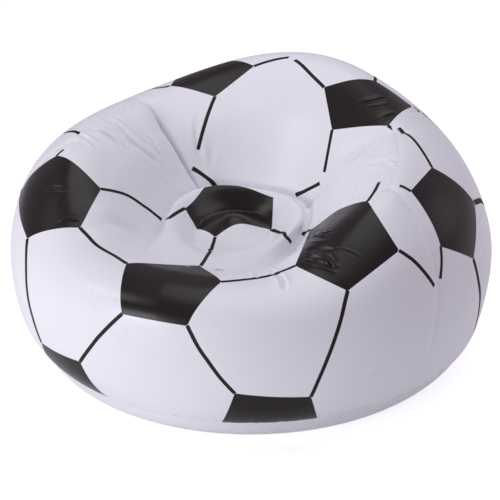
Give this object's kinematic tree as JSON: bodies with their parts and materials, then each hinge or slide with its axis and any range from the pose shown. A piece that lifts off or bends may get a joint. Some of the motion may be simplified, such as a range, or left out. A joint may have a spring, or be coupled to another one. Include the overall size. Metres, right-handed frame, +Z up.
{
  "type": "inflatable armchair",
  "caption": "Inflatable vinyl armchair shaped as a football, with a seat hollow sunk in its top, rolled front, arms and backrest, and a pull-out air valve low on the back.",
  "frame": {"origin": "on the floor, under the middle of the ball", "axes": "+Z up from the floor, -Y the way the sitter faces, +X to the sitter's left"},
  "size_m": [1.1364, 1.1205, 0.604],
  "materials": {
    "white_vinyl": "satin",
    "tie_vinyl": "satin",
    "valve_vinyl": "satin"
  },
  "bodies": {
    "chair": {"base_panel": "white_vinyl", "front_panel": "white_vinyl", "rear_panel": "white_vinyl", "backrest_panel": "white_vinyl", "seat_panel": "white_vinyl", "seat_tie": "tie_vinyl", "valve_flange": "valve_vinyl"},
    "stem": {"valve_stem": "valve_vinyl", "valve_strap": "valve_vinyl"},
    "flap": {"valve_flap": "valve_vinyl"},
    "plug": {"valve_plug": "valve_vinyl"}
  },
  "joints": [
    {"name": "stem_pull", "type": "slide", "parent": "chair", "child": "stem", "axis": [0.425, 0.9033, -0.0587], "range_m": [0, 0.018]},
    {"name": "flap_swing", "type": "hinge", "parent": "stem", "child": "flap", "pos_m": [0.23681, 0.48277, 0.24496], "axis": [-0.9049, 0.4257, 0], "range_deg": [0, 40], "stiffness_Nm_per_rad": 0.0005},
    {"name": "plug_pull", "type": "slide", "parent": "stem", "child": "plug", "axis": [0.425, 0.9033, -0.0587], "range_m": [0, 0.01]}
  ]
}
